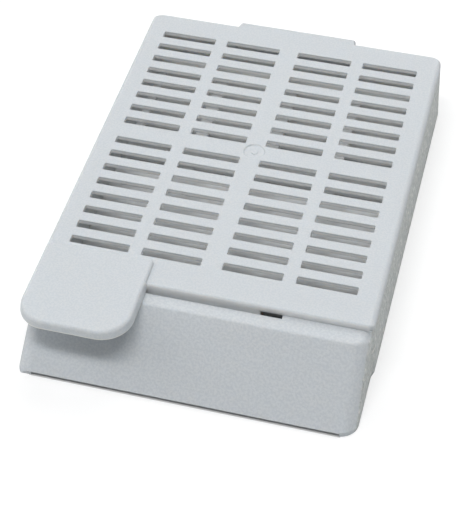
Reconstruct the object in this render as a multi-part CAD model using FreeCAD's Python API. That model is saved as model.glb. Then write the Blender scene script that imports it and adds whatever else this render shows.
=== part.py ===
"""Tissue cassette: a slotted tray with a 45 degree writing face and a hinged slotted lid.

Two mouldings, in millimetres. +X is to the right as the writing face is read, +Y points from
the writing face to the hinge, +Z is up. The origin is on the surface that the cassette rests
on, under the middle of its bounding box.
"""
import FreeCAD, Part
import math
import os

V = FreeCAD.Vector

# ---- Base: a tray with a slanted writing face in front ---------------------------------------
BASE_LENGTH = 40.7            # toe of the writing face to the rear wall
FOOT_WIDTH = 28.5             # across the side walls where they stand
SIDE_LEAN = 0.3               # each side wall leans in by this much from foot to rim
RIM_HEIGHT = 5.45             # foot to rim, where the lid lies
FRONT_INSET = 0.18            # each side wall is this much narrower in front of the lid
FRONT_TAPER = 0.6             # length over which it gets its full width again, under the lid
REAR_CORNER_R = 1.0           # upright corners at the rear
TOE_LEFT_R = 0.3              # upright corners at the toe
TOE_RIGHT_R = 1.5
WALL = 1.0                    # side and rear walls, at the rim
CHAMBER_CORNER_R = 0.8        # upright corners inside the tissue chamber
FOOT_GAP = 0.35               # the floor is held off the bench by a foot rim
FOOT_RIM = 1.4                # width of that foot rim under the walls
FLOOR = 0.7                   # slotted floor
WRITING_ANGLE = 45.0          # writing face, degrees from the bench
TOE_HEIGHT = 0.4              # lower edge of the writing face above the bench
TOE_GAP = 0.3                 # opening under that edge, for rinsing
TOE_GAP_MARGIN = 1.5          # side of the foot to that opening
WRITING_PANEL = 1.0           # thickness of the writing face, square to it
WRITING_EDGE_R = 1.3          # rounding where the writing face turns into the sides
LEDGE_EDGE_R = 0.35           # rounding where the ledge turns into the writing face
LEDGE_SIDE_R = 0.8            # rounding where the ledge turns into the sides
LEDGE = 0.9                   # thickness of the ledge between writing face and chamber
LEDGE_STEP = 1.5              # part of the ledge that shows in front of the lid
LEDGE_UNDER_LID = 1.15        # part of the ledge that runs back under the lid
FRONT_WALL = 1.0              # chamber wall behind the writing face
PANEL_RIB = 0.8               # ribs behind the writing panel
PANEL_RIB_X = (-9.2, 0.0, 9.2)

# ---- Slots, in lid and floor alike -----------------------------------------------------------
SLOT_WIDTH = 0.85
SLOT_CORNER_R = 0.12
ROWS_PER_GROUP = 8
GROUP_GAP = 2.68              # between the middle rows of the two groups
MIDDLE_BAR = 1.77             # bar between the two inner columns
COLUMN_BAR = 1.11             # bar between an inner column and an outer one
SIDE_MARGIN = 1.865           # side of the lid to the nearest slots
REAR_MARGIN = 2.50            # rear edge of the lid to the nearest slots
FRONT_MARGIN = 3.00           # front edge of the lid to the nearest slots
SLOT_FIELD_SHIFT = -0.10      # the whole slot field lies a little left of the middle

# ---- Lid -------------------------------------------------------------------------------------
LID_THICKNESS = 0.65          # along the borders that lie on the rim
LID_WEB = 0.42                # between the borders, where the slots are
SIDE_BORDER = 1.5             # width of the thick border at the sides
REAR_BORDER = 1.45            # width of the thick border at the hinge
FRONT_BORDER = 1.0            # width of the thick border at the front
LID_REAR_R = 1.0
LID_FRONT_R = 0.6
LID_EDGE_R = 0.2              # rounding of the upper edges
LID_SIDE_R = 0.45             # rounding of the two upper side edges
LID_REAR_INSET = 0.02         # the lid's rear edge stops this far inside the rear wall
SKIRT = 0.5                   # thin skirt that drops into the chamber
SKIRT_DROP = 0.7              # how far it reaches below the rim
SKIRT_GAP_SIDE = 0.15
SKIRT_GAP_FRONT = 0.2
SKIRT_REAR_GAP = 1.6          # the side skirts end this far before the rear wall

TAB_WIDTH = 9.33              # thumb tab: a thicker plate at the left end of the lid's front edge
TAB_INSET = 0.05              # from the lid's left edge
TAB_LEAN = 0.16               # its two sides lean in by this much
TAB_REACH = 6.14              # how far it stands out in front of the lid
TAB_ROOT = 2.57               # how far it runs back over the lid
TAB_RISE = 0.33               # its top lies this much above the lid
TAB_LEFT_R = 2.3
TAB_RIGHT_R = 2.55
TAB_REAR_R = 0.45
TAB_EDGE_R = 0.3              # rounding of its upper edge
TAB_UNDER_R = 0.15            # rounding of its lower edge

LIP_DROP = 0.4                # lip under the lid's front edge, from the tab to the catch
LIP_THICKNESS = 0.6
LIP_END_GAP = 0.15            # between the left ends of lip and groove
LIP_REAR_GAP = 0.1
LIP_TUCK = 0.6                # how far lip and groove run on under the tab
GROOVE_DEPTH = 0.5            # groove in the ledge that takes the lip
GROOVE_REACH = 0.38           # part of groove and window that shows in front of the lid

GATE_R = 0.98                 # moulding gate: a shallow dish with a nub, in mid lid
GATE_DEPTH = 0.12
GATE_NUB_R = 0.28
GATE_NUB_HEIGHT = 0.07
GATE_SHIFT_Y = 0.08           # from the middle of the slot field

# ---- Snap hinge: a pin moulded in the rear wall, gripped by a clip on the lid ----------------
PIN_R = 0.5
PIN_RUNNING_GAP = 0.05        # radial, between pin and clip
CLIP_R = 1.2                  # outside of the clip, flush with the top of the lid
CLIP_LENGTH = 11.1
CLIP_LIP_LEAN = 15.0          # the clip ends this many degrees before straight under the pin
CLIP_END_R = 0.2
CLIP_END_GAP = 0.1            # beside the clip, to each ear
CLIP_SWING_GAP = 0.1          # between the clip and its notch in the rear wall
PIN_STAND_OFF = 0.1           # pin axis behind the rear wall's outer face
EAR_LENGTH = 1.2              # each end of the pin, held by the wall and a gusset
EAR_DROP = 1.5                # how far the gusset reaches below the pin axis
EAR_SWING_GAP = 0.1           # cove under the lid, round each ear

# ---- Catch: a hook on the lid that enters a window at the end of the groove ------------------
WINDOW_X = 5.7                # middle of the window
WINDOW_WIDTH = 1.85
HOOK_SIDE_GAP = 0.15
HOOK_THICKNESS = 0.55
HOOK_REAR_GAP = 0.1           # between hook and front wall
HOOK_DROP = 1.5               # below the rim
HOOK_END_R = 0.18
NUB_R = 0.2                   # friction nub across the hook
NUB_GAP = 0.03                # between nub and front wall
NUB_DEPTH = 1.1               # nub below the rim

# ---- Places worked out from the sizes --------------------------------------------------------
hinge_proud = PIN_STAND_OFF + CLIP_R
front_y = -(BASE_LENGTH + hinge_proud) / 2
rear_y = front_y + BASE_LENGTH
lid_top_z = RIM_HEIGHT + LID_THICKNESS
web_z = lid_top_z - LID_WEB
floor_top_z = FOOT_GAP + FLOOR
writing_slope = math.tan(math.radians(WRITING_ANGLE))
ledge_front_y = front_y + (RIM_HEIGHT - TOE_HEIGHT) / writing_slope
lid_front_y = ledge_front_y + LEDGE_STEP
front_wall_y = lid_front_y + LEDGE_UNDER_LID
chamber_front_y = front_wall_y + FRONT_WALL
chamber_rear_y = rear_y - WALL
half_rim = FOOT_WIDTH / 2 - SIDE_LEAN
chamber_half = half_rim - WALL
lid_rear_y = rear_y - LID_REAR_INSET
pin_y = rear_y + PIN_STAND_OFF
pin_z = lid_top_z - CLIP_R
bore_r = PIN_R + PIN_RUNNING_GAP
half_clip = CLIP_LENGTH / 2
ear_inner_x = half_clip + CLIP_END_GAP
ear_outer_x = ear_inner_x + EAR_LENGTH
slot_length = (half_rim - SIDE_MARGIN - COLUMN_BAR - MIDDLE_BAR / 2) / 2
inner_column_x = (MIDDLE_BAR + slot_length) / 2
outer_column_x = inner_column_x + slot_length + COLUMN_BAR
first_row_y = lid_front_y + FRONT_MARGIN + SLOT_WIDTH / 2
last_row_y = lid_rear_y - REAR_MARGIN - SLOT_WIDTH / 2
field_y = (first_row_y + last_row_y) / 2
row_pitch = ((last_row_y - first_row_y - GROUP_GAP) / 2) / (ROWS_PER_GROUP - 1)
tab_left_x = -half_rim + TAB_INSET
tab_right_x = tab_left_x + TAB_WIDTH
tab_front_y = lid_front_y - TAB_REACH
tab_rear_y = lid_front_y + TAB_ROOT
groove_front_y = lid_front_y - GROOVE_REACH
groove_left_x = tab_right_x - LIP_TUCK
window_left_x = WINDOW_X - WINDOW_WIDTH / 2
window_right_x = WINDOW_X + WINDOW_WIDTH / 2
BEYOND = 1.0                  # how far a cutting tool runs past the surface it opens


def box(x0, x1, y0, y1, z0, z1):
    """Block between two corners."""
    return Part.makeBox(x1 - x0, y1 - y0, z1 - z0, V(x0, y0, z0))


def rod(x0, x1, y, z, radius):
    """Cylinder along X."""
    return Part.makeCylinder(radius, x1 - x0, V(x0, y, z), V(1, 0, 0))


def side_prism(x0, x1, outline):
    """Extrude an outline of (y, z) points along X."""
    points = [V(x0, y, z) for y, z in outline]
    face = Part.Face(Part.makePolygon(points + points[:1]))
    return face.extrude(V(x1 - x0, 0, 0))


def rounded_outline(x0, x1, y0, y1, z, radii):
    """Closed wire of a rectangle whose corners, from front left round to rear left, are arcs."""
    corners = ((x0, y0, 1, 1), (x1, y0, -1, 1), (x1, y1, -1, -1), (x0, y1, 1, -1))
    arcs = []
    for index, ((x, y, to_x, to_y), radius) in enumerate(zip(corners, radii)):
        middle = V(x + to_x * radius, y + to_y * radius, z)
        start_angle = math.pi * (1 + index / 2)
        ends = []
        for turn in (0.0, 0.25, 0.5):
            angle = start_angle + turn * math.pi
            ends.append(middle + V(radius * math.cos(angle), radius * math.sin(angle), 0))
        arcs.append(ends)
    edges = []
    for index, (start, mid, end) in enumerate(arcs):
        edges.append(Part.Arc(start, mid, end).toShape())
        edges.append(Part.LineSegment(end, arcs[(index + 1) % 4][0]).toShape())
    return Part.Wire(edges)


def rounded_plate(x0, x1, y0, y1, z0, z1, radii):
    """Plate with rounded upright corners."""
    return Part.Face(rounded_outline(x0, x1, y0, y1, z0, radii)).extrude(V(0, 0, z1 - z0))


def edges_where(shape, test):
    """The edges whose middle and box pass a test."""
    return [edge for edge in shape.Edges if test(edge.CenterOfMass, edge.BoundBox)]


def near(a, b, tolerance=0.01):
    return abs(a - b) < tolerance


# ---- Slot field ------------------------------------------------------------------------------
def slot_cutters(z0, z1):
    """All slots of one plate as one cutting tool: two groups of rows in four columns."""
    columns = (-outer_column_x, -inner_column_x, inner_column_x, outer_column_x)
    rows = []
    for row in range(ROWS_PER_GROUP):
        offset = GROUP_GAP / 2 + row * row_pitch
        rows.extend((offset, -offset))
    first = rounded_plate(-slot_length / 2, slot_length / 2, -SLOT_WIDTH / 2, SLOT_WIDTH / 2,
                          z0, z1, (SLOT_CORNER_R,) * 4)
    slots = []
    for column in columns:
        for row in rows:
            slot = first.copy()
            slot.translate(V(column + SLOT_FIELD_SHIFT, field_y + row, 0))
            slots.append(slot)
    return Part.makeCompound(slots)


# ---- Base ------------------------------------------------------------------------------------
def leaning_body(outline, bottom_z, top_z):
    """Body whose sides lean in as the walls do; the outline is a plan drawn from a half width."""
    plans = []
    for z in (bottom_z, top_z):
        half = FOOT_WIDTH / 2 - SIDE_LEAN * z / RIM_HEIGHT
        plans.append([V(x, y, z) for x, y in outline(half)])
    low, high = plans
    corners = [low[::-1], high]
    for here in range(len(low)):
        after = (here + 1) % len(low)
        corners.append([low[here], low[after], high[after], high[here]])
    faces = [Part.Face(Part.makePolygon(points + points[:1])) for points in corners]
    return Part.Solid(Part.Shell(faces))


def whole_plan(half):
    """Plan of the base, a little narrower in front of the lid."""
    front_half = half - FRONT_INSET
    wide_y = lid_front_y + FRONT_TAPER
    return ((-front_half, front_y), (front_half, front_y), (front_half, lid_front_y),
            (half, wide_y), (half, rear_y), (-half, rear_y), (-half, wide_y),
            (-front_half, lid_front_y))


def front_plan(half):
    """Plan of the part in front of the lid, long enough to be cut to shape."""
    front_half = half - FRONT_INSET
    toe_y = front_y - 3 * BEYOND
    return ((-front_half, toe_y), (front_half, toe_y), (front_half, lid_front_y),
            (-front_half, lid_front_y))


def upright_at(body, x_side, y):
    """The body's upright edge at one side (-1 or 1) and one end."""
    return edges_where(body, lambda middle, bound: bound.ZLength > RIM_HEIGHT / 2
                       and near(middle.y, y) and middle.x * x_side > 0)


def base_block():
    """Outside of the base: leaning sides, a 45 degree front, rounded edges and corners."""
    block = leaning_body(whole_plan, 0, RIM_HEIGHT)
    block = block.makeFillet(REAR_CORNER_R, upright_at(block, -1, rear_y)
                             + upright_at(block, 1, rear_y))
    block = block.makeFillet(TOE_LEFT_R, upright_at(block, -1, front_y))
    block = block.makeFillet(TOE_RIGHT_R, upright_at(block, 1, front_y))

    rise = 4 * BEYOND
    above_slope = side_prism(-FOOT_WIDTH, FOOT_WIDTH, (
        (ledge_front_y + rise, RIM_HEIGHT + rise * writing_slope),
        (front_y - rise, TOE_HEIGHT - rise * writing_slope),
        (front_y - rise, RIM_HEIGHT + rise * writing_slope)))
    soft_slope = leaning_body(front_plan, -2 * BEYOND, RIM_HEIGHT + BEYOND).cut(above_slope)
    soft_slope = soft_slope.makeFillet(WRITING_EDGE_R, edges_where(
        soft_slope, lambda middle, bound: bound.ZLength > RIM_HEIGHT
        and bound.YLength > RIM_HEIGHT))
    soft_ledge = leaning_body(front_plan, -BEYOND, RIM_HEIGHT)
    soft_ledge = soft_ledge.makeFillet(LEDGE_SIDE_R, edges_where(
        soft_ledge, lambda middle, bound: near(bound.ZMin, RIM_HEIGHT)
        and bound.YLength > LEDGE_STEP))
    front_part = block.common(soft_slope).common(soft_ledge)

    def ledge_edge(middle, bound):
        return near(middle.z, RIM_HEIGHT) and near(middle.y, ledge_front_y)

    front_part = front_part.makeFillet(LEDGE_EDGE_R, edges_where(front_part, ledge_edge))
    ahead = box(-FOOT_WIDTH, FOOT_WIDTH, front_y - BEYOND, lid_front_y, -BEYOND,
                RIM_HEIGHT + BEYOND)
    return front_part.fuse(block.cut(ahead))


def panel_hollow():
    """Space behind the writing panel, open underneath and split by ribs."""
    panel_run = WRITING_PANEL / math.sin(math.radians(WRITING_ANGLE))
    ceiling_z = RIM_HEIGHT - LEDGE
    ceiling_y = ledge_front_y + panel_run - (RIM_HEIGHT - ceiling_z) / writing_slope
    mouth_y = ceiling_y - ceiling_z / writing_slope
    half_mouth = FOOT_WIDTH / 2 - FOOT_RIM
    hollow = side_prism(-half_mouth, half_mouth, (
        (mouth_y, 0), (ceiling_y, ceiling_z), (front_wall_y, ceiling_z), (front_wall_y, 0)))
    for rib_x in PANEL_RIB_X:
        hollow = hollow.cut(box(rib_x - PANEL_RIB / 2, rib_x + PANEL_RIB / 2,
                                front_y, front_wall_y, 0, RIM_HEIGHT))
    return hollow


def hinge_notch():
    """Room in the rear wall for the clip to turn in."""
    notch_r = CLIP_R + CLIP_SWING_GAP
    swing = rod(-ear_inner_x, ear_inner_x, pin_y, pin_z, notch_r)
    above = box(-ear_inner_x, ear_inner_x, pin_y - notch_r, pin_y + notch_r,
                pin_z, lid_top_z + BEYOND)
    return swing.fuse(above)


def hinge_pin():
    """Pin across the notch, with a gusset under each end."""
    pin = rod(-ear_outer_x, ear_outer_x, pin_y, pin_z, PIN_R)
    root_y = rear_y - WALL / 2
    for side in (-1, 1):
        inner = min(side * ear_inner_x, side * ear_outer_x)
        gusset = side_prism(inner, inner + EAR_LENGTH, (
            (root_y, pin_z), (pin_y + PIN_R, pin_z),
            (pin_y + PIN_R / 2, pin_z - PIN_R), (rear_y, pin_z - EAR_DROP),
            (root_y, pin_z - EAR_DROP)))
        pin = pin.fuse(gusset)
    return pin


def make_base():
    base = base_block()
    chamber = rounded_plate(-chamber_half, chamber_half, chamber_front_y, chamber_rear_y,
                            floor_top_z, RIM_HEIGHT + BEYOND, (CHAMBER_CORNER_R,) * 4)
    half_foot = FOOT_WIDTH / 2 - FOOT_RIM
    under_floor = box(-half_foot, half_foot, chamber_front_y, rear_y - FOOT_RIM,
                      -BEYOND, FOOT_GAP)
    toe_gap = box(-FOOT_WIDTH / 2 + TOE_GAP_MARGIN, FOOT_WIDTH / 2 - TOE_GAP_MARGIN,
                  front_y - BEYOND, front_y + 2 * WRITING_PANEL, -BEYOND, TOE_GAP)
    groove = box(groove_left_x, window_right_x,
                 groove_front_y, lid_front_y + LIP_THICKNESS + LIP_REAR_GAP,
                 RIM_HEIGHT - GROOVE_DEPTH, RIM_HEIGHT + BEYOND)
    window = box(window_left_x, window_right_x, groove_front_y, front_wall_y,
                 RIM_HEIGHT - LEDGE - BEYOND, RIM_HEIGHT + BEYOND)
    base = base.cut([chamber, under_floor, panel_hollow(), toe_gap, groove, window, hinge_notch(),
                     slot_cutters(0, floor_top_z + BEYOND)])
    return base.fuse(hinge_pin()).removeSplitter()


# ---- Lid -------------------------------------------------------------------------------------
def lid_plate():
    """Plate with a thick border all round and a thinner web where the slots are."""
    plate = rounded_plate(-half_rim, half_rim, lid_front_y, lid_rear_y, RIM_HEIGHT, lid_top_z,
                          (LID_FRONT_R, LID_FRONT_R, LID_REAR_R, LID_REAR_R))
    top_edges = edges_where(plate, lambda middle, bound: near(bound.ZMin, lid_top_z))
    plate = plate.makeFillet(LID_EDGE_R, top_edges)
    soft_bar = box(-half_rim, half_rim, lid_front_y - BEYOND, lid_rear_y + BEYOND,
                   RIM_HEIGHT, lid_top_z)
    side_edges = edges_where(soft_bar, lambda middle, bound: near(bound.ZMin, lid_top_z)
                             and near(abs(middle.x), half_rim))
    plate = plate.common(soft_bar.makeFillet(LID_SIDE_R, side_edges))
    inner_half = half_rim - SIDE_BORDER
    under_web = box(-inner_half, inner_half, lid_front_y + FRONT_BORDER,
                    lid_rear_y - REAR_BORDER, RIM_HEIGHT - BEYOND, web_z)
    return plate.cut(under_web)


def thumb_tab():
    """Thicker plate that stands out in front of the lid, with softly rounded edges."""
    top_z = lid_top_z + TAB_RISE
    radii = (TAB_LEFT_R, TAB_RIGHT_R, TAB_REAR_R, TAB_REAR_R)
    foot = rounded_outline(tab_left_x, tab_right_x, tab_front_y, tab_rear_y, RIM_HEIGHT, radii)
    top = rounded_outline(tab_left_x + TAB_LEAN, tab_right_x - TAB_LEAN, tab_front_y, tab_rear_y,
                          top_z, radii)
    tab = Part.makeLoft([foot, top], True, True)
    top_edges = edges_where(tab, lambda middle, bound: near(bound.ZMin, top_z))
    tab = tab.makeFillet(TAB_EDGE_R, top_edges)
    low_edges = edges_where(tab, lambda middle, bound: near(bound.ZMax, RIM_HEIGHT))
    return tab.makeFillet(TAB_UNDER_R, low_edges)


def front_lip():
    """Lip under the lid's front edge that drops into the groove in the ledge."""
    return box(groove_left_x + LIP_END_GAP, window_left_x, lid_front_y,
               lid_front_y + LIP_THICKNESS, RIM_HEIGHT - LIP_DROP, web_z)


def skirt():
    """Thin wall under the lid, just inside the side and front walls of the chamber."""
    outer = chamber_half - SKIRT_GAP_SIDE
    front = chamber_front_y + SKIRT_GAP_FRONT
    rear = chamber_rear_y - SKIRT_REAR_GAP
    block = rounded_plate(-outer, outer, front, rear, RIM_HEIGHT - SKIRT_DROP, web_z,
                          (CHAMBER_CORNER_R, CHAMBER_CORNER_R, SLOT_CORNER_R, SLOT_CORNER_R))
    core = box(-outer + SKIRT, outer - SKIRT, front + SKIRT, rear + BEYOND,
               RIM_HEIGHT - SKIRT_DROP - BEYOND, web_z + BEYOND)
    return block.cut(core)


def hinge_clip():
    """Clip that snaps over the pin, with its crown flush with the top of the lid."""
    clip = rod(-half_clip, half_clip, pin_y, pin_z, CLIP_R)
    clip = clip.makeFillet(CLIP_END_R, clip.Edges)
    tongue = box(-half_clip, half_clip, lid_rear_y - REAR_BORDER, pin_y, RIM_HEIGHT, lid_top_z)
    return clip.fuse(tongue)


def clip_bore():
    """Bore round the pin and the mouth through which the pin enters."""
    reach = CLIP_R + BEYOND
    lip_y = pin_y - reach * math.tan(math.radians(CLIP_LIP_LEAN))
    mouth = side_prism(-half_clip - BEYOND, half_clip + BEYOND, (
        (pin_y, pin_z), (pin_y, RIM_HEIGHT), (pin_y - reach, RIM_HEIGHT),
        (pin_y - reach, pin_z - reach), (lip_y, pin_z - reach)))
    return rod(-half_clip - BEYOND, half_clip + BEYOND, pin_y, pin_z, bore_r).fuse(mouth)


def ear_coves():
    """Clearance under the lid's rear edge, round the two held ends of the pin."""
    cove_r = PIN_R + EAR_SWING_GAP
    left = rod(-ear_outer_x - CLIP_END_GAP, -half_clip, pin_y, pin_z, cove_r)
    right = rod(half_clip, ear_outer_x + CLIP_END_GAP, pin_y, pin_z, cove_r)
    return [left, right]


def catch_hook():
    """Springy hook with a friction nub, behind the right part of the lid's front edge."""
    x0 = window_left_x + HOOK_SIDE_GAP
    x1 = window_right_x - HOOK_SIDE_GAP
    rear = front_wall_y - HOOK_REAR_GAP
    hook = box(x0, x1, rear - HOOK_THICKNESS, rear, RIM_HEIGHT - HOOK_DROP, web_z)
    low_edges = edges_where(hook, lambda middle, bound: near(bound.ZMax, RIM_HEIGHT - HOOK_DROP)
                            and bound.XLength > HOOK_THICKNESS)
    hook = hook.makeFillet(HOOK_END_R, low_edges)
    nub = rod(x0, x1, front_wall_y - NUB_GAP - NUB_R, RIM_HEIGHT - NUB_DEPTH, NUB_R)
    return hook.fuse(nub)


def gate_dish():
    """Shallow dish left by the moulding gate, round a low nub."""
    y = field_y + GATE_SHIFT_Y
    dish = Part.makeCone(GATE_R - GATE_DEPTH, GATE_R, GATE_DEPTH, V(0, y, lid_top_z - GATE_DEPTH))
    nub = Part.makeCylinder(GATE_NUB_R, GATE_NUB_HEIGHT, V(0, y, lid_top_z - GATE_DEPTH))
    return dish.cut(nub)


def make_lid():
    lid = lid_plate().fuse([skirt(), thumb_tab(), front_lip(), hinge_clip()])
    lid = lid.cut([clip_bore(), gate_dish(), slot_cutters(RIM_HEIGHT, lid_top_z + BEYOND)]
                  + ear_coves())
    return lid.fuse(catch_hook()).removeSplitter()


os.makedirs("parts", exist_ok=True)
for name, shape in (("base", make_base()), ("lid", make_lid())):
    print(name, "solids", len(shape.Solids), "valid", shape.isValid(), "volume", round(shape.Volume, 3))
    shape.Solids[0].exportStep("parts/" + name + ".step")
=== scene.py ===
import math

import bpy
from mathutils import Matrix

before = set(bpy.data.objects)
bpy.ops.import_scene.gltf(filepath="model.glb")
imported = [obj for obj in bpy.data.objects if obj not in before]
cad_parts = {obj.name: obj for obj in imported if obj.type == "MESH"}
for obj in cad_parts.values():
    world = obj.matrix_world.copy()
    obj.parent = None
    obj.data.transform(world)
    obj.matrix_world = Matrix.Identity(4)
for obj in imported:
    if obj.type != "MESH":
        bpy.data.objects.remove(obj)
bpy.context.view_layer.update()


# ---- Tray ------------------------------------------------------------------------------------
# One acetal moulding: slotted floor, leaning side walls, slanted writing face, hinge pin.
# Its mould is spark-eroded: the writing face has a fine matt grain that takes pencil, and the
# side walls have a coarse stipple that fingers and clamps can hold.
MM = 0.001
SOFT_EDGE = 0.1 * MM            # over which one colour of a moulding passes into the next

TRAY_GREY = (0.655, 0.695, 0.725, 1)
TRAY_GREY_WARM = (0.675, 0.695, 0.710, 1)
TRAY_PIT = (0.605, 0.640, 0.670, 1)
# painted light: within the chamber the tray is paler, standing in for light that seeps through
# its walls
TRAY_PAINTED_LIGHT_WITHIN = (0.800, 0.812, 0.810, 1)
# painted light: the walls of the slots are paler still, to lighten the slots
TRAY_SLOT_WALL_PAINTED_LIGHT = (0.900, 0.900, 0.890, 1)
TRAY_ROUGHNESS = 0.55

MOTTLE_SIZE = 3.0 * MM
MOTTLE_DETAIL = 3.0
GRAIN_SIZE = 0.20 * MM
GRAIN_DEPTH = 0.020 * MM
GRAIN_ROUGHER = 0.12
GRAIN_PITS = (0.62, 0.38)       # height of the grain where its pits start, and are deepest

SIDE_GREY = (0.602, 0.636, 0.624, 1)
# painted highlights on the stipple's peaks, painted glints on its tips and painted shade in its
# pits
SIDE_PAINTED_HIGHLIGHT = (0.810, 0.828, 0.802, 1)
SIDE_PAINTED_GLINT = (0.950, 0.950, 0.920, 1)
SIDE_PAINTED_SHADE = (0.440, 0.470, 0.455, 1)
SIDE_SMOOTHER = 0.15
SIDE_SKIN = (13.6 * MM, 13.85 * MM)
SIDE_LEAN = (0.80, 0.97)        # share of the outward direction that points sideways
STIPPLE_SIZE = 0.34 * MM
STIPPLE_TALLER = 1.3
STIPPLE_DEPTH = 0.22 * MM
STIPPLE_PEAKS = (0.42, 0.74)
# where on the stipple the painted glints and the painted shade lie
STIPPLE_PAINTED_GLINTS = (0.60, 0.70)
STIPPLE_PAINTED_SHADE = (0.42, 0.32)

CHAMBER_HALF_WIDTH = 12.9 * MM
CHAMBER_FRONT = -12.2 * MM
CHAMBER_REAR = 18.8 * MM
CHAMBER_FLOOR = 0.45 * MM
FLOOR_TOP = (0.98 * MM, 1.05 * MM)
# painted light: the shaded recess of the catch's window is painted paler
WINDOW_PAINTED_LIGHT = (0.900, 0.885, 0.850, 1)
WINDOW_MIDDLE = 5.7 * MM
WINDOW_REACH = 2.1 * MM
WINDOW_FRONT = -15.5 * MM
WINDOW_REAR = -13.1 * MM

FACING_UP_OR_DOWN = (0.3, 0.8)  # share of a direction that points up or down
FACING_UP = (0.3, 0.6)
ACETAL_IOR = 1.48
ACETAL_GLOW = 0.5
ACETAL_GLOW_REACH = 1.0 * MM
ACETAL_GLOW_TINT = (1.0, 0.9, 0.8)


class Signal:
    """An output of a finish's nodes, so that sums on it read as plain arithmetic."""

    def __init__(self, finish, socket):
        self.finish = finish
        self.socket = socket

    def sum(self, operation, *values):
        """One Math node over plain numbers and signals."""
        settings = {"operation": operation}
        return self.finish.add("ShaderNodeMath", settings, dict(enumerate(values)))

    def __add__(self, other):
        return self.sum("ADD", self, other)

    def __sub__(self, other):
        return self.sum("SUBTRACT", self, other)

    def __rsub__(self, other):
        return self.sum("SUBTRACT", other, self)

    def __mul__(self, other):
        return self.sum("MULTIPLY", self, other)

    __radd__ = __add__
    __rmul__ = __mul__

    def size(self):
        """The value without its sign."""
        return self.sum("ABSOLUTE", self)

    def larger(self, other):
        """The larger of two values."""
        return self.sum("MAXIMUM", self, other)

    def ramp(self, start, end):
        """0 up to start, 1 from end, and smooth between them."""
        settings = {"interpolation_type": "SMOOTHSTEP"}
        return self.finish.add("ShaderNodeMapRange", settings,
                               {"Value": self, "From Min": start, "From Max": end})

    def over(self, limit):
        """1 from the limit on, 0 below it, with a soft edge."""
        return self.ramp(limit - SOFT_EDGE, limit)

    def under(self, limit):
        """1 up to the limit, 0 above it, with a soft edge."""
        return (limit - self).ramp(-SOFT_EDGE, 0)


class Finish:
    """The nodes of one material, or of the room, added one by one."""

    def __init__(self, owner, shader):
        owner.use_nodes = True
        self.owner = owner
        self.tree = owner.node_tree
        self.shader = self.tree.nodes[shader]

    def add(self, kind, settings, inputs, output=0):
        """A node of one kind, with its settings and the values or links of its sockets."""
        node = self.tree.nodes.new(kind)
        for name, value in settings.items():
            setattr(node, name, value)
        self.feed(node, inputs)
        return Signal(self, node.outputs[output])

    def feed(self, node, inputs):
        """Set a node's sockets to values, or link them to signals."""
        for name, value in inputs.items():
            if isinstance(value, Signal):
                self.tree.links.new(value.socket, node.inputs[name])
            else:
                node.inputs[name].default_value = value

    def place(self):
        """Where a point is on the moulding, in metres."""
        return self.add("ShaderNodeTexCoord", {}, {}, "Object")

    def facing(self):
        """Which way the surface faces, as the moulding's own directions."""
        return self.add("ShaderNodeTexCoord", {}, {}, "Normal")

    def part_of(self, vector, axis):
        """One part, X, Y or Z, of a place or a direction."""
        return self.add("ShaderNodeSeparateXYZ", {}, {"Vector": vector}, axis)

    def upright(self):
        """1 on upright faces, 0 on those that face up or down."""
        return 1 - self.part_of(self.facing(), "Z").size().ramp(*FACING_UP_OR_DOWN)

    def seen(self):
        """1 where the camera looks straight at a surface, 0 for light on its way elsewhere."""
        return self.add("ShaderNodeLightPath", {}, {}, "Is Camera Ray")

    def cloud(self, size, detail=2.0, taller=1.0):
        """Soft irregular patches of about one size, from 0 to 1, drawn out upwards if asked."""
        squeeze = {"Vector": self.place(), "Scale": (1, 1, 1 / taller)}
        drawn = self.add("ShaderNodeMapping", {}, squeeze)
        inputs = {"Vector": drawn, "Scale": 1 / size, "Detail": detail}
        return self.add("ShaderNodeTexNoise", {}, inputs)

    def mix(self, share, first, second):
        """A colour between two colours."""
        inputs = {"Factor": share, 6: first, 7: second}
        return self.add("ShaderNodeMix", {"data_type": "RGBA"}, inputs, 2)

    def emboss(self, height):
        """A bumpy surface whose height signal is in metres."""
        return self.add("ShaderNodeBump", {}, {"Height": height, "Distance": 1.0}, "Normal")


def acetal(name):
    """What every acetal moulding shares: a satin skin over a slightly milky body."""
    finish = Finish(bpy.data.materials.new(name), "Principled BSDF")
    finish.feed(finish.shader, {
        "IOR": ACETAL_IOR,
        "Subsurface Weight": ACETAL_GLOW,
        "Subsurface Scale": ACETAL_GLOW_REACH,
        "Subsurface Radius": ACETAL_GLOW_TINT,
    })
    return finish


def in_chamber_painted_light(finish, place):
    """1 between the chamber's walls, where a paler colour is painted in as the light that seeps
    through them.
    """
    along = finish.part_of(place, "Y")
    between_sides = finish.part_of(place, "X").size().under(CHAMBER_HALF_WIDTH)
    over_foot = finish.part_of(place, "Z").over(CHAMBER_FLOOR)
    return between_sides * along.over(CHAMBER_FRONT) * along.under(CHAMBER_REAR) * over_foot


def in_window_painted_light(finish, place):
    """1 on the walls of the catch's window and behind it, but not on the ledge's top, where a
    paler colour is painted in as light.
    """
    along = finish.part_of(place, "Y")
    off_middle = (finish.part_of(place, "X") - WINDOW_MIDDLE).size()
    not_up = 1 - finish.part_of(finish.facing(), "Z").ramp(*FACING_UP)
    around = off_middle.under(WINDOW_REACH) * along.over(WINDOW_FRONT) * along.under(WINDOW_REAR)
    return around * not_up


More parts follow.
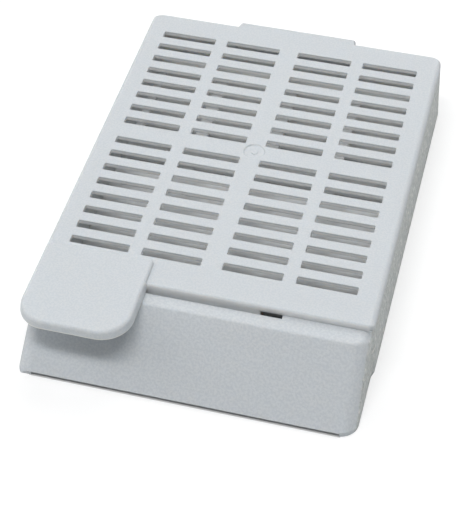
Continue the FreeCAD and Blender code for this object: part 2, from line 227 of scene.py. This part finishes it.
def tray_finish():
    finish = acetal("tray_acetal")
    place = finish.place()
    grain = finish.cloud(GRAIN_SIZE)
    face = finish.mix(finish.cloud(MOTTLE_SIZE, MOTTLE_DETAIL), TRAY_GREY, TRAY_GREY_WARM)
    face = finish.mix(grain.ramp(*GRAIN_PITS), face, TRAY_PIT)

    coarse = finish.cloud(STIPPLE_SIZE, taller=STIPPLE_TALLER)
    # the stipple is bumped, and its light is also painted: highlights on peaks, glints on tips,
    # shade in pits
    stipple_relief_and_highlight = coarse.ramp(*STIPPLE_PEAKS)
    side = finish.mix(stipple_relief_and_highlight, SIDE_GREY, SIDE_PAINTED_HIGHLIGHT)
    side = finish.mix(coarse.ramp(*STIPPLE_PAINTED_GLINTS), side, SIDE_PAINTED_GLINT)
    side = finish.mix(coarse.ramp(*STIPPLE_PAINTED_SHADE), side, SIDE_PAINTED_SHADE)
    sideways = finish.part_of(finish.facing(), "X").size().ramp(*SIDE_LEAN)
    on_sides = sideways * finish.part_of(place, "X").size().ramp(*SIDE_SKIN)

    # painted light: the upright walls of the floor's slots get the palest colour
    slots_painted_light = finish.upright() * (1 - finish.part_of(place, "Z").ramp(*FLOOR_TOP))
    painted_light_within = finish.mix(slots_painted_light, TRAY_PAINTED_LIGHT_WITHIN, TRAY_SLOT_WALL_PAINTED_LIGHT)
    colour = finish.mix(on_sides, face, side)
    # painted light: a paler colour between the chamber's walls
    colour = finish.mix(in_chamber_painted_light(finish, place), colour, painted_light_within)
    finish.feed(finish.shader, {
        # painted light in the catch's window
        "Base Color": finish.mix(in_window_painted_light(finish, place), colour, WINDOW_PAINTED_LIGHT),
        "Roughness": TRAY_ROUGHNESS + grain * GRAIN_ROUGHER - on_sides * SIDE_SMOOTHER,
        "Normal": finish.emboss(grain * GRAIN_DEPTH + stipple_relief_and_highlight * on_sides * STIPPLE_DEPTH),
    })
    return finish.owner


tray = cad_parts["base"]
tray.data.materials.clear()
tray.data.materials.append(tray_finish())


# ---- Lid -------------------------------------------------------------------------------------
# A thinner acetal moulding that clips over the tray's pin and snaps shut in front. Its mould is
# polished a little more than the tray's, so its top is satin with only a trace of grain. Its
# thin front edge and its slot walls are painted paler, as painted light for light that seeps
# through them, and a pale line along the tab's lower edge is a painted highlight.
LID_GREY = (0.665, 0.705, 0.735, 1)
LID_GREY_WARM = (0.685, 0.705, 0.720, 1)
LID_PIT = (0.625, 0.665, 0.695, 1)
# painted light: the lid's slot walls and its thin front edge are paler
LID_SLOT_WALL_PAINTED_LIGHT = (0.900, 0.900, 0.890, 1)
LID_FRONT_EDGE_PAINTED_LIGHT = (0.800, 0.810, 0.812, 1)
# painted highlight: a pale warm line along the tab's lower edge
LID_TAB_EDGE_HIGHLIGHT = (0.900, 0.895, 0.850, 1)
LID_ROUGHNESS = 0.45
LID_GRAIN_SIZE = 0.16 * MM
LID_GRAIN_DEPTH = 0.008 * MM
LID_WEB_UNDERSIDE = (5.69 * MM, 5.70 * MM)
LID_SKIN = (5.90 * MM, 5.94 * MM)
LID_FRONT = -14.45 * MM
TAB_BACK = -14.7 * MM
# how high the painted highlight on the tab's lower edge reaches
TAB_EDGE_HIGHLIGHT_TOP = (5.58 * MM, 5.66 * MM)


def lid_finish():
    finish = acetal("lid_acetal")
    place = finish.place()
    along = finish.part_of(place, "Y")
    height = finish.part_of(place, "Z")
    upright = finish.upright()
    grain = finish.cloud(LID_GRAIN_SIZE)
    face = finish.mix(finish.cloud(MOTTLE_SIZE, MOTTLE_DETAIL), LID_GREY, LID_GREY_WARM)
    colour = finish.mix(grain.ramp(*GRAIN_PITS), face, LID_PIT)

    on_tab = along.under(TAB_BACK)
    # painted light on the lid's front edge
    front_edge_painted_light = along.under(LID_FRONT) * (1 - on_tab) * upright
    colour = finish.mix(front_edge_painted_light, colour, LID_FRONT_EDGE_PAINTED_LIGHT)
    # painted highlight along the upright lower edge of the tab
    tab_edge_painted_highlight = on_tab * (1 - height.ramp(*TAB_EDGE_HIGHLIGHT_TOP)) * upright
    colour = finish.mix(tab_edge_painted_highlight, colour, LID_TAB_EDGE_HIGHLIGHT)
    in_web = height.ramp(*LID_WEB_UNDERSIDE) * (1 - height.ramp(*LID_SKIN))
    # painted light on the walls of the lid's slots
    slots_painted_light = in_chamber_painted_light(finish, place) * in_web * upright
    finish.feed(finish.shader, {
        "Base Color": finish.mix(slots_painted_light, colour, LID_SLOT_WALL_PAINTED_LIGHT),
        "Roughness": LID_ROUGHNESS + grain * GRAIN_ROUGHER,
        "Normal": finish.emboss(grain * LID_GRAIN_DEPTH),
    })
    return finish.owner


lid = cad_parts["lid"]
lid.data.materials.clear()
lid.data.materials.append(lid_finish())


# ---- Bench and room --------------------------------------------------------------------------
# A plain white bench top under plain soft studio light. The camera sees bench and room as
# white, while the cassette is lit by a greyer bench, as it is where nothing is floodlit. Under
# the cassette, where its toe and its slots give a view of the bench, the bench stays in shade.
BENCH_SIZE = 3.0
BENCH_GREY = (0.82, 0.83, 0.83, 1)
BENCH_SEEN = (0.60, 0.60, 0.60, 1)
BENCH_WHITENESS = (0.48, 0.48, 0.48, 1)
BENCH_ROUGHNESS = 0.9
LAMPLIT_BENCH = (0.10, 0.50)    # distance over which the lamps' light on the bench fades
COVERED_HALF_WIDTH = 12.8 * MM
COVERED_HALF_LENGTH = 20.35 * MM
COVERED_MIDDLE = -0.65 * MM
COVERED_EDGE = 0.15 * MM
ROOM_LIGHT = (0.160, 0.162, 0.165, 1)
BLACK = (0, 0, 0, 1)
WHITE = (1, 1, 1, 1)


def bench_finish():
    finish = Finish(bpy.data.materials.new("bench_top"), "Principled BSDF")
    seen = finish.seen()
    place = finish.place()
    beside = finish.part_of(place, "X").size() - COVERED_HALF_WIDTH
    before = (finish.part_of(place, "Y") - COVERED_MIDDLE).size() - COVERED_HALF_LENGTH
    uncovered = beside.larger(before).ramp(0, COVERED_EDGE)
    away = finish.add("ShaderNodeVectorMath", {"operation": "LENGTH"}, {0: place}, "Value")
    whiteness = finish.mix(away.ramp(*LAMPLIT_BENCH), BENCH_WHITENESS, WHITE)
    finish.feed(finish.shader, {
        "Base Color": finish.mix(seen, BENCH_GREY, BENCH_SEEN),
        "Emission Color": finish.mix(seen * uncovered, BLACK, whiteness),
        "Emission Strength": 1.0,
        "Roughness": BENCH_ROUGHNESS,
        "Specular IOR Level": 0.0,
    })
    return finish.owner


bpy.ops.mesh.primitive_plane_add(size=BENCH_SIZE)
bench = bpy.context.object
bench.name = "bench"
bench.data.materials.append(bench_finish())

room = Finish(bpy.data.worlds.new("room"), "Background")
room.feed(room.shader, {"Color": room.mix(room.seen(), ROOM_LIGHT, WHITE)})
bpy.context.scene.world = room.owner

LAMP_REACH = 0.45
LAMPS = (
    # name, width and height in metres, watts, azimuth and height in degrees
    ("key_strip", 0.32, 0.07, 1.01, -6, 73),
    ("rear_softbox", 0.30, 0.30, 0.57, 180, 50),
    ("right_softbox", 0.30, 0.30, 0.22, 120, 35),
    ("left_softbox", 0.30, 0.30, 0.50, -90, 35),
)
for name, wide, tall, watts, azimuth, height in LAMPS:
    lamp = bpy.data.lights.new(name, "AREA")
    lamp.shape = "RECTANGLE"
    lamp.size = wide
    lamp.size_y = tall
    lamp.energy = watts
    stand = bpy.data.objects.new(name, lamp)
    turn, rise = math.radians(azimuth), math.radians(height)
    stand.location = (LAMP_REACH * math.cos(rise) * math.sin(turn),
                      -LAMP_REACH * math.cos(rise) * math.cos(turn),
                      LAMP_REACH * math.sin(rise))
    stand.rotation_euler = (math.pi / 2 - rise, 0, turn)
    bpy.context.scene.collection.objects.link(stand)


# ---- Camera ----------------------------------------------------------------------------------
# A tabletop portrait lens looks down on the writing face from a little to its right. It stands
# about 13 cm away, so its near limit is short.
CAMERA_LENS = 102.85
CAMERA_NEAR = 5 * MM
CAMERA_PLACE = (22.56 * MM, -92.30 * MM, 95.96 * MM)
CAMERA_TILT = 43.136
CAMERA_TURN = 14.257

camera = bpy.data.objects.new("camera", bpy.data.cameras.new("camera"))
camera.data.lens = CAMERA_LENS
camera.data.clip_start = CAMERA_NEAR
camera.location = CAMERA_PLACE
camera.rotation_euler = (math.radians(CAMERA_TILT), 0, math.radians(CAMERA_TURN))
bpy.context.scene.collection.objects.link(camera)
bpy.context.scene.camera = camera
bpy.context.scene.view_settings.view_transform = "Standard"
